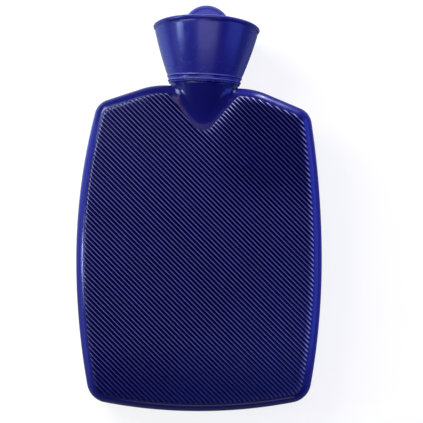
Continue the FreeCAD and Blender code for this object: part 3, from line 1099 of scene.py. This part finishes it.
@dataclass
class Funnel:
    """The filling funnel: collar with its double bead, bowed conical side and crowned, rolled lip."""

    foot_height: float = NECK_TOP
    collar_radius: float = 29.2
    collar_top: float = 273.5
    collar_edge: float = 0.2
    bead_heights: tuple[float, ...] = (268.7, 272.0)
    bead_half_width: float = 0.8
    bead_reach: float = 0.7
    bead_power: float = 1.2
    # Bell curves of the painted highlight on each bead's upper half and the painted shade just under it
    bead_highlight_bell: Limits = (0.2, 0.55)
    bead_shade_bell: Limits = (-1.1, 0.6)
    foot_radius: float = 30.6
    mouth_radius: float = 43.0
    side_height: float = 313.0
    side_edge: float = 0.25
    side_bow: float = 0.75
    side_power: float = 1.6
    wall: float = 2.4
    clamp_radius: float = 24.0
    clamp_foot: float = BUSH_TOP
    clamp_thickness: float = 1.5
    clamp_rounding: float = 0.4
    clamp_gap: float = 0.5
    spigot_radius: float = SPIGOT_RADIUS
    crown: float = 4.4
    crown_softness: float = 0.25
    lip_height: float = 3.3
    lip_overhang: float = 0.9
    lip_inner_overhang: float = 0.3
    lip_roundness: float = 3.4
    lip_turn: Limits = (-62.0, 242.0)
    lip_groove: float = 0.35
    lip_groove_width: float = 1.3
    # Bell curve and reach of the painted highlight along the lip's outer top
    lip_highlight_bell: Limits = (-0.4, 0.5)
    lip_highlight_reach: float = 1.6
    seam_height: float = 0.12
    seam_width: float = 0.012
    collar_steps: int = 60
    side_steps: int = 30
    lip_steps: int = 34
    clamp_steps: int = 4
    around: int = 320

    def rise(self, angle: np.ndarray) -> np.ndarray:
        """The crown of the mouth: nothing at both sides and the full crown in front and behind.

        It is crown times (root(sin squared + s squared) - s), divided by the same at the front, where s is
        the crown's softness.

        Args:
            angle: Angles about the neck's axis.

        Returns:
            The rise of the mouth.
        """
        soft = self.crown_softness
        return self.crown * (np.hypot(np.sin(angle), soft) - soft) / (math.hypot(1.0, soft) - soft)

    def side(self, height: np.ndarray) -> np.ndarray:
        """Works out the radius of the side: a straight cone, bowed outwards by 4 bow s (1 - s).

        Args:
            height: Heights along the neck's axis. The share s goes from 0 at the collar to 1 at the mouth.

        Returns:
            The radius at each height.
        """
        share = (height - self.collar_top) / (self.side_height - self.collar_top)
        bow = 4.0 * self.side_bow * np.clip(share * (1.0 - share), 0.0, None)
        return self.foot_radius + (self.mouth_radius - self.foot_radius) * share + bow

    def groove(self, height: np.ndarray) -> np.ndarray:
        """Depth of the groove under the lip: it eases in over its width, up to the lip's lower edge."""
        below = self.side_height - self.lip_height - height
        return self.lip_groove * ease(1.0 - below / self.lip_groove_width)

    def collar(self) -> tuple[np.ndarray, np.ndarray, np.ndarray]:
        """The outside of the collar from its foot up: it widens to the cone and carries the beads.

        A bead stands out by its reach times a power of a cosine.

        Returns:
            Radius, height and painted light of its points: painted highlight on a bead's upper half, shade under
            it.
        """
        height = np.linspace(self.foot_height + self.collar_edge, self.collar_top, self.collar_steps)
        share = (height - self.foot_height) / (self.collar_top - self.foot_height)
        radius = self.collar_radius + (self.foot_radius - self.collar_radius) * share ** 2
        painted_light = np.zeros_like(height)
        for middle in self.bead_heights:
            up = (height - middle) / self.bead_half_width
            near = np.clip(np.abs(up), 0.0, 1.0)
            radius += self.bead_reach * np.cos(near * math.pi / 2.0) ** self.bead_power
            # Painted highlight on the bead's upper half, painted shade just under it
            painted_light += bell(up, *self.bead_highlight_bell) - bell(up, *self.bead_shade_bell)
        return radius, height, painted_light

    def lip(self) -> tuple[np.ndarray, np.ndarray, np.ndarray]:
        """The section of the rolled lip from under its outer edge over the top to its inner side.

        It is a superellipse about the lip's middle.

        Returns:
            Offset from the outer side, height from the mouth's edge, and a painted highlight along the outer top.
        """
        wide = (self.wall + self.lip_overhang + self.lip_inner_overhang) / 2.0
        middle = self.lip_overhang - wide
        turn = np.radians(np.linspace(*self.lip_turn, self.lip_steps))
        power = 2.0 / self.lip_roundness
        across = np.sign(np.cos(turn)) * np.abs(np.cos(turn)) ** power
        up = np.sign(np.sin(turn)) * np.abs(np.sin(turn)) ** power
        offset, height = middle + wide * across, self.lip_height / 2.0 * (up - 1.0)
        outer = offset > self.lip_overhang - self.lip_highlight_reach
        return offset, height, bell(height, *self.lip_highlight_bell) * outer

    def section(self) -> np.ndarray:
        """The whole closed section: collar, side, lip, inner side and the clamp over the bush's flange.

        Returns:
            Radius, height, share of the mouth's rise and painted light of its points, points by four.
        """
        def stretch(radius: np.ndarray, height: np.ndarray, share: np.ndarray | float = 0.0,
                    painted_light: np.ndarray | float = 0.0) -> np.ndarray:
            """One stretch of the section."""
            return np.stack(np.broadcast_arrays(radius, height, share, painted_light), -1)

        slope = (self.mouth_radius - self.foot_radius) / (self.side_height - self.collar_top)
        side_foot, side_top = self.collar_top + self.side_edge, self.side_height - self.lip_height
        climb = 1.0 - (1.0 - np.linspace(0.0, 1.0, self.side_steps)) ** self.side_power
        height = side_foot + (side_top - side_foot) * climb
        groove = self.groove(height)
        radius, level, painted_light = self.collar()
        offset, drop, light = self.lip()
        inner_foot = self.collar_top + self.clamp_thickness
        inner = stretch(self.side(height) - self.wall, height, climb ** 2)[::-1]
        clamp = turned_ring([(self.side(inner_foot) - self.wall, inner_foot),
                             (self.clamp_radius, self.clamp_foot + self.clamp_thickness),
                             (self.clamp_radius, self.clamp_foot),
                             (self.spigot_radius, self.clamp_foot),
                             (self.spigot_radius, self.foot_height),
                             (self.collar_radius, self.foot_height)], self.clamp_rounding, self.clamp_steps)
        return np.concatenate([
            stretch(radius, level, 0.0, painted_light),
            # Painted shade in the groove under the lip, as deep as the groove
            stretch(self.side(height) - groove, height, climb ** 2, -groove / self.lip_groove),
            stretch(self.mouth_radius + offset + slope * drop, self.side_height + drop, 1.0, light),
            inner[inner[:, 1] > inner_foot + self.clamp_gap],
            stretch(*clamp.T),
        ])

    def add(self, skin: Skin) -> None:
        """Adds the funnel as one closed surface.

        Each point of the section lifts by its share of the mouth's rise, and moves out with the cone. A
        seam, a bell curve over the sine of the angle, stands up along both sides.

        Args:
            skin: The mesh that it goes to, in the neck frame.
        """
        angle = full_turn(self.around)
        radius, height, share, painted_light = (column[:, None] for column in self.section().T)
        slope = (self.mouth_radius - self.foot_radius) / (self.side_height - self.collar_top)
        seam = self.seam_height * bell(np.sin(angle), 0.0, self.seam_width) * (share > 0.0) * (share < 1.0)
        outer = (radius > self.side(height) - self.wall / 2.0) & (height > self.collar_top)
        lift = share * self.rise(angle)
        grid = on_circle(angle, radius + slope * lift + seam * outer, height + lift)
        skin.add(grid, painted_light, rows_close=True)


@dataclass(frozen=True)
class Thread:
    """A right-handed thread about the neck's axis."""

    pitch: float = 5.0
    depth: float = 1.3
    share: float = 0.5
    steepness: float = 1.4

    def reach(self, angle: np.ndarray, height: np.ndarray) -> np.ndarray:
        """How far the thread stands out, from 0 to its depth.

        The turn number is (height / pitch + angle / full turn). Over the thread's share of each turn, two
        smooth steps rise to a flat crest.

        Args:
            angle: Angles about the neck's axis.
            height: Heights along it.

        Returns:
            The reach.
        """
        turn = (height / self.pitch + angle / math.tau) % 1.0
        near = np.clip(np.abs(turn - 0.5) / self.share * 2.0, 0.0, 1.0)
        return self.depth * ease(self.steepness * (1.0 - near))


@dataclass
class NeckInsert:
    """The hard flanged bush in the neck, with its inner thread."""

    bore_radius: float = BUSH_BORE
    radius: float = 21.0
    flange_radius: float = SPIGOT_RADIUS
    foot: float = BUSH_FOOT
    spigot_top: float = SPIGOT_TOP
    top: float = BUSH_TOP
    rounding: float = 0.4
    thread: Thread = Thread()
    foot_fade: Limits = (0.5, 3.5)
    top_fade: Limits = (2.5, 4.5)
    bore_steps: int = 56
    around: int = 144

    def add(self, skin: Skin) -> None:
        """Adds the bush: its outside with the flange, and the bore with the thread standing inwards.

        Args:
            skin: The mesh that it goes to, in the neck frame.
        """
        angle = full_turn(self.around)
        ring = turned_ring([(self.bore_radius, self.foot), (self.radius, self.foot),
                            (self.radius, self.spigot_top), (self.flange_radius, self.spigot_top),
                            (self.flange_radius, self.top), (self.bore_radius, self.top)], self.rounding)
        # The outside ends halfway round the bore's two corners, where the bore's own rows take over
        ring = ring[ROUND_STEPS // 2 + 1:-(ROUND_STEPS // 2)]
        outside = spun(ring, angle)
        height = np.linspace(self.top - self.rounding, self.foot + self.rounding, self.bore_steps)[:, None]
        fade = ease_over(height - self.foot, self.foot_fade) * ease_over(self.top - height, self.top_fade)
        bore = on_circle(angle, self.bore_radius - self.thread.reach(angle, height) * fade, height)
        skin.add(np.concatenate([outside, bore]), rows_close=True)


@dataclass
class SealingWasher:
    """The soft ring between the bush and the stopper's flange, a little bulged by the load on it."""

    inner_radius: float = BUSH_BORE
    radius: float = 21.4
    foot: float = BUSH_TOP
    top: float = WASHER_TOP
    bulge: float = 0.12
    rounding: float = 0.5
    around: int = 144

    def add(self, skin: Skin) -> None:
        """Adds the washer: a section with rounded corners whose sides are bowed by the bulge.

        Args:
            skin: The mesh that it goes to, in the neck frame.
        """
        angle, middle = full_turn(self.around), (self.foot + self.top) / 2.0
        inner, outer = self.inner_radius + self.bulge, self.radius - self.bulge
        ring = turned_ring([(inner, self.foot), (outer, self.foot), (self.radius, middle), (outer, self.top),
                            (inner, self.top), (self.inner_radius, middle)], self.rounding)
        skin.add(spun(ring, angle), rows_close=True)


@dataclass
class StopperScrew:
    """The hard plug: a hollow threaded shank under a flange, with the tang that holds the grip."""

    shank_radius: float = 17.0
    wall: float = 3.0
    foot: float = BUSH_FOOT
    foot_chamfer: float = 1.3
    washer_top: float = WASHER_TOP
    flange_radius: float = 21.5
    flange_top: float = FLANGE_TOP
    floor: float = 3.5
    rounding: float = 0.8
    tang_width: float = 21.8
    tang_thickness: float = 2.8
    tang_height: float = 18.0
    tang_sunk: float = 0.2
    tang_rounding: float = 0.4
    thread: Thread = Thread()
    depth_room: float = 0.2
    share_room: float = 0.24
    thread_fade: Limits = (0.6, 2.1)
    core: float = 0.5
    shank_steps: int = 60
    around: int = 144

    def add(self, skin: Skin) -> None:
        """Adds the screw: the shank with the thread's groove cut in, the flange, the hollow and the tang.

        The groove is the bush's thread, made deeper and wider by the room that the screw runs with.

        Args:
            skin: The mesh that it goes to, in the neck frame.
        """
        angle = full_turn(self.around)
        bore, ceiling = self.shank_radius - self.wall, self.flange_top - self.floor
        height = np.linspace(self.foot + self.foot_chamfer, self.washer_top, self.shank_steps)[:, None]
        groove = Thread(self.thread.pitch, self.thread.depth + self.depth_room,
                        self.thread.share + self.share_room)
        fade = ease_over(self.washer_top - height, self.thread_fade)
        shank = on_circle(angle, self.shank_radius - groove.reach(angle, height) * fade, height)
        ring = turned_ring([(bore, self.washer_top), (self.flange_radius, self.washer_top),
                            (self.flange_radius, self.flange_top), (self.core, self.flange_top)],
                           self.rounding)
        flange = spun(ring[ROUND_STEPS:3 * ROUND_STEPS], angle)
        inside = np.array([(0.0, self.flange_top), (0.0, ceiling), (bore - self.rounding, ceiling),
                           (bore, ceiling - self.rounding), (bore, self.foot),
                           (self.shank_radius - self.foot_chamfer, self.foot)])
        skin.add(np.concatenate([shank, flange, spun(inside, angle)]), rows_close=True)
        base = self.flange_top - self.tang_sunk
        skin.add(rounded_bar(self.tang_width / 2.0, self.tang_thickness / 2.0, base, base + self.tang_height,
                             self.tang_rounding))


def rounded_bar(half_width: float, half_thickness: float, low: float, high: float,
                rounding: float) -> np.ndarray:
    """An upright bar with rounded edges, closed at both ends and drawn in to 0.97 at its top.

    Args:
        half_width: Half its size along X.
        half_thickness: Half its size along Z.
        low: Height of its foot.
        high: Height of its top.
        rounding: How far from an edge the rounding starts.

    Returns:
        The grid of its points, rows by columns by three.
    """
    section = turned_ring([(half_width, -half_thickness), (half_width, half_thickness),
                           (-half_width, half_thickness), (-half_width, -half_thickness)], rounding)
    levels = np.array([(0.0, low), (1.0, low), (1.0, high - rounding), (0.97, high), (0.0, high)])
    scale, height = levels[:, :1], levels[:, 1:]
    return np.stack(np.broadcast_arrays(section[:, 0] * scale, height, section[:, 1] * scale), -1)


@dataclass
class StopperGrip:
    """The flat finger tab: round head, waist, wider foot, a border round both sunk faces, and a hub."""

    width: float = 39.2
    waist: float = 30.0
    foot_width: float = 36.0
    foot_inset: float = 0.8
    foot_rise: float = 0.6
    thickness: float = 7.0
    top: float = 331.2
    foot: float = FLANGE_TOP
    shoulder_angle: float = 20.0
    edge_round: float = 1.6
    border: float = 1.8
    slope_width: float = 1.8
    recess: float = 0.7
    spine_rise: float = 9.0
    hub_height: float = 5.0
    hub_draft: float = 2.0
    hub_rounding: float = 0.9
    hub_core: float = 0.05
    steps: int = 90
    edge_steps: int = 8
    around: int = 144

    def outline(self) -> np.ndarray:
        """The outline of the tab, anticlockwise: a round head and sides drawn in to the waist by a parabola.

        Returns:
            Plan positions in the neck frame, evenly spaced.
        """
        head, half_foot = self.width / 2.0, self.foot_width / 2.0
        shoulder = math.radians(self.shoulder_angle)
        turn = np.linspace(-shoulder, math.pi + shoulder, self.steps * 2)
        round_head = 1j * (self.top - head) + head * np.exp(1j * turn)
        edge, share = round_head[-1], np.linspace(0.0, 1.0, self.steps)[1:-1]
        height = edge.imag + (self.foot + self.foot_rise - edge.imag) * share
        straight = -edge.real + (half_foot + edge.real) * share
        bow = 4.0 * share * (1.0 - share) * ((half_foot - edge.real) / 2.0 - self.waist / 2.0)
        left = -(straight - bow) + 1j * height
        corner = half_foot - self.foot_inset
        foot = np.linspace(-corner, corner, self.steps // 2) + 1j * self.foot
        loop = np.concatenate([round_head, left, foot, (-left.conj())[::-1]])
        loop = np.append(loop, loop[0])
        reach = np.concatenate([[0.0], np.cumsum(np.abs(np.diff(loop)))])
        even = np.linspace(0.0, reach[-1], self.steps * 4, endpoint=False)
        return np.interp(even, reach, loop.real) + 1j * np.interp(even, reach, loop.imag)

    def add(self, skin: Skin) -> None:
        """Adds the tab and its hub.

        Every column runs from the edge inwards: a quarter circle, the flat border, a smooth step down into
        the sunk face, and on to the middle line. Its direction is the mean of five neighbours, square to the
        edge.

        Args:
            skin: The mesh that it goes to, in the neck frame.
        """
        edge = self.outline()
        way = np.roll(edge, -1) - np.roll(edge, 1)
        way = np.mean([np.roll(way / np.abs(way), shift) for shift in range(-2, 3)], 0)
        inward = 1j * way / np.abs(way)
        half = self.thickness / 2.0
        turn = np.linspace(0.0, math.pi / 2.0, self.edge_steps)
        step = np.linspace(0.0, 1.0, self.edge_steps)
        inset = np.concatenate([[0.0], self.edge_round * (1.0 - np.cos(turn)),
                                self.border + self.slope_width * step])
        height = np.concatenate([[0.0], half - self.edge_round * (1.0 - np.sin(turn)),
                                 half - self.recess * ease(step)])
        plan = edge + inward * inset[:, None]
        inner = plan[-1]
        spine = 1j * np.clip(inner.imag, self.foot + self.spine_rise, self.top - self.width / 2.0)
        plan = np.concatenate([plan, [(inner + spine) / 2.0, spine]])
        height = np.concatenate([height, np.full(2, height[-1])])[:, None] * np.ones(len(edge))
        skin.add(both_faces(plan, height))
        base, hub_top = self.foot_width / 2.0, self.foot + self.hub_height
        ring = turned_ring([(self.hub_core, self.foot), (base, self.foot), (base - self.hub_draft, hub_top),
                            (self.hub_core, hub_top)], self.hub_rounding)
        ring = np.concatenate([[[0.0, self.foot]], ring[ROUND_STEPS:3 * ROUND_STEPS], [[0.0, hub_top]]])
        skin.add(spun(ring, full_turn(self.around)))


# Studio


WHITE, ROSE, WARM = (1.0, 1.0, 1.0), (1.0, 0.82, 0.92), (1.0, 0.60, 0.58)
COOL, BLUE = (0.72, 0.86, 1.0), (0.16, 0.22, 1.0)
BAG_MIDDLE, FUNNEL_MIDDLE = (0.0, 150.0, 0.0), (0.0, 290.0, 0.0)
LEFT_SHOULDER = (-40.0, 255.0, 15.0)


@dataclass(frozen=True)
class SoftBox:
    """A flat lamp: its middle, its width and height, its watts, its colour and what it points at."""

    name: str
    place: Place
    size: tuple[float, float]
    power: float
    colour: Colour = WHITE
    target: Place = BAG_MIDDLE
    funnel_only: bool = False


LAMPS = (
    SoftBox("upper left soft box", (-480.0, 620.0, 520.0), (450.0, 450.0), 6.7),
    SoftBox("front soft box", (130.0, -810.0, 2790.0), (2400.0, 800.0), 18.0, ROSE, FUNNEL_MIDDLE, True),
    SoftBox("left shoulder box", (-110.0, 470.0, 950.0), (180.0, 320.0), 0.8, WARM, LEFT_SHOULDER),
    SoftBox("foot strip", (60.0, -700.0, 350.0), (500.0, 100.0), 0.35, ROSE),
    SoftBox("neck streak box", (-827.0, 100.0, 437.0), (150.0, 90.0), 1.7, COOL, FUNNEL_MIDDLE),
    SoftBox("left strip", (-950.0, 150.0, 150.0), (120.0, 700.0), 0.4, COOL),
    SoftBox("low top strip", (370.0, 1110.0, 20.0), (640.0, 40.0), 4.0, WHITE, FUNNEL_MIDDLE),
    SoftBox("right strip", (950.0, 250.0, 370.0), (700.0, 900.0), 6.6, BLUE),
)


@dataclass(frozen=True)
class LitPatch:
    """A soft patch of light that a glossy surface sees in the floor, brightest at its middle."""

    middle: Place
    radius: float
    level: float


LIT_PATCHES = (
    LitPatch((-170.0, 285.0, -18.0), 170.0, 1.6),
    LitPatch((112.0, 262.0, -18.0), 60.0, 0.8),
)


@dataclass
class Studio:
    """The camera, the lamps, the white floor and the world.

    Places are in the bag frame, in millimetres. What the camera sees lies between its two clip distances, in
    metres.
    """

    frames: Frames
    eye_distance: float = 1000.0
    aim: tuple[float, float] = (10.17, 162.5)
    span: float = 346.9
    sensor: float = 36.0
    clip: Limits = (0.02, 20.0)
    world_strength: float = 0.07
    floor_size: float = 9000.0
    floor_level: float = 0.85
    floor_tone: Colour = (0.25, 0.25, 0.25)
    sheen_level: float = 0.11
    sheen_colour: Colour = (0.36, 0.52, 1.0)

    def add_camera(self) -> None:
        """Puts the camera square over the bag's face, where the photograph was taken from."""
        data = bpy.data.cameras.new("camera")
        data.sensor_width = self.sensor
        data.lens = self.sensor * self.eye_distance / self.span
        data.clip_start, data.clip_end = self.clip
        camera = bpy.data.objects.new("camera", data)
        bag = self.frames.bag
        eye = bag.to_row(np.array([*self.aim, self.eye_distance]))
        matrix = np.eye(4)
        matrix[:3] = np.stack([bag.right, bag.along, bag.out, eye], 1)
        camera.matrix_world = matrix.T.tolist()
        bpy.context.scene.collection.objects.link(camera)
        bpy.context.scene.camera = camera

    def add_lamp(self, box: SoftBox, funnel: bpy.types.Object) -> None:
        """Adds a soft box that shines at its target.

        Args:
            box: The lamp's sizes and place.
            funnel: The one piece that a lamp for the funnel only shines on.
        """
        data = bpy.data.lights.new(box.name, "AREA")
        data.shape = "RECTANGLE"
        data.size, data.size_y = (size * MM for size in box.size)
        data.energy, data.color = box.power, box.colour
        lamp = bpy.data.objects.new(box.name, data)
        start, end = (self.frames.bag.to_row(np.array(point)) for point in (box.place, box.target))
        back = (start - end) / np.linalg.norm(start - end)
        side = np.cross(self.frames.bag.along, back)
        side /= np.linalg.norm(side)
        matrix = np.eye(4)
        matrix[:3] = np.stack([side, np.cross(back, side), back, start], 1)
        lamp.matrix_world = matrix.T.tolist()
        if box.funnel_only:
            lamp.light_linking.receiver_collection = bpy.data.collections.new(box.name)
            lamp.light_linking.receiver_collection.objects.link(funnel)
        bpy.context.scene.collection.objects.link(lamp)

    def add_world(self) -> None:
        """A plain, dim world that is white to the eye."""
        world = bpy.data.worlds.new("world")
        wiring = Wiring.of(world)
        background = wiring.tree.nodes["Background"]
        seen = wiring.node("ShaderNodeLightPath", {}).outputs["Is Camera Ray"]
        wiring.feed(background.inputs["Color"], (*WHITE, 1.0))
        wiring.feed(background.inputs["Strength"], wiring.worked("MAXIMUM", seen, self.world_strength))
        bpy.context.scene.world = world

    def floor_material(self) -> bpy.types.Material:
        """A floor that is bright to the eye but plain to the light.

        A glossy surface sees it bluish and dim, with soft lit patches: each adds its level times 1 less the
        distance from its middle over its radius.

        Returns:
            The new material.
        """
        material = bpy.data.materials.new("white floor")
        wiring = Wiring.of(material)
        nodes = wiring.tree.nodes
        nodes.remove(nodes["Principled BSDF"])
        path, place = wiring.node("ShaderNodeLightPath", {}).outputs, wiring.place()
        sheen = self.sheen_level
        for patch in LIT_PATCHES:
            inputs = {0: place, 1: self.frames.bag.to_row(np.array(patch.middle)).tolist()}
            away = wiring.node("ShaderNodeVectorMath", inputs, operation="DISTANCE").outputs["Value"]
            far = wiring.worked("MINIMUM", 1.0, wiring.worked("DIVIDE", away, patch.radius * MM))
            sheen = wiring.worked("MULTIPLY_ADD", wiring.worked("SUBTRACT", 1.0, far), patch.level, sheen)
        seen = wiring.worked("MAXIMUM", path["Is Camera Ray"], path["Is Transmission Ray"])
        seen = wiring.worked("MULTIPLY", seen, self.floor_level)
        mirrored = wiring.worked("MULTIPLY", path["Is Glossy Ray"], sheen)
        shader = wiring.node("ShaderNodeBsdfDiffuse", {"Color": (*self.floor_tone, 1.0)})
        for colour, strength in ((WHITE, seen), (self.sheen_colour, mirrored)):
            glow = wiring.node("ShaderNodeEmission", {"Color": (*colour, 1.0), "Strength": strength})
            shader = wiring.node("ShaderNodeAddShader", {0: shader.outputs[0], 1: glow.outputs[0]})
        wiring.feed(nodes["Material Output"].inputs["Surface"], shader.outputs[0])
        return material

    def add_floor(self) -> None:
        """Adds the white floor that the bottle lies on."""
        half = self.floor_size * MM / 2.0
        mesh = bpy.data.meshes.new("floor")
        mesh.from_pydata([(-half, -half, 0.0), (half, -half, 0.0), (half, half, 0.0), (-half, half, 0.0)], [],
                         [(0, 1, 2, 3)])
        mesh.materials.append(self.floor_material())
        floor = bpy.data.objects.new("floor", mesh)
        bpy.context.scene.collection.objects.link(floor)

    def build(self, funnel: bpy.types.Object) -> None:
        """Sets the whole studio up.

        Args:
            funnel: The dressed funnel, which has a lamp of its own.
        """
        self.add_camera()
        self.add_world()
        self.add_floor()
        for box in LAMPS:
            self.add_lamp(box, funnel)
        bpy.context.scene.view_settings.view_transform = "Standard"


# Bottle


def dress(skin: Skin, name: str, placement: Placement, finish: Finish, body: Body, node: str) -> bpy.types.Object:
    """Builds a piece from its mesh, gives it its finish and hands it to the frame.

    Args:
        skin: The collected mesh.
        name: The piece's name.
        placement: The frame of its points.
        finish: Its finish.
        body: The body that it moves with.
        node: The CAD node that it stands for.

    Returns:
        The dressed piece.
    """
    piece = skin.build(name, placement)
    piece.data.materials.append(finish.material())
    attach(piece, body.value)
    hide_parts(node)
    log.info("%s: %d points, %d faces", name, len(piece.data.vertices), len(piece.data.polygons))
    return piece


def corners(box: tuple) -> list[list[float]]:
    """Both corners of a box as plain lists of numbers."""
    return [[float(value) for value in corner] for corner in box]


def main() -> None:
    """Loads the frame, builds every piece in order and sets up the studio."""
    logging.basicConfig(level=logging.INFO, format="%(name)s: %(message)s")
    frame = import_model()
    joint = next(joint for joint in frame["joints"] if joint["name"] == "stopper_turn")
    frames = Frames.from_joint(joint, seat_height=BUSH_TOP, lean_height=LEAN_HEIGHT)

    bag = Bag(frames)
    skin = Skin()
    bag.add_slab(skin)
    for side in Side:
        RibbedPad(bag).add(skin, side)
    Neck(bag).add(skin)
    dress(skin, "bag", frames.bag, BAG_VINYL, Body.BOTTLE, "bottle_body")

    turned = [
        (Funnel(), "funnel", FUNNEL_VINYL, Body.BOTTLE, "filling_funnel", "funnel_vinyl"),
        (NeckInsert(), "neck_bush", BUSH_PLASTIC, Body.BOTTLE, "neck_insert", "bush_plastic"),
        (SealingWasher(), "washer", WASHER_RUBBER, Body.WASHER, "sealing_washer", "washer_rubber"),
        (StopperScrew(), "screw", SCREW_PLASTIC, Body.STOPPER, "stopper_screw", "screw_plastic"),
        (StopperGrip(), "finger_tab", GRIP_VINYL, Body.STOPPER, "stopper_grip", "grip_vinyl"),
    ]
    pieces = {}
    for piece, name, finish, body, node, slot in turned:
        skin = Skin()
        piece.add(skin)
        pieces[name] = dress(skin, name, frames.neck, finish, body, node)
    Studio(frames).build(pieces["funnel"])


if __name__ == "__main__":
    main()
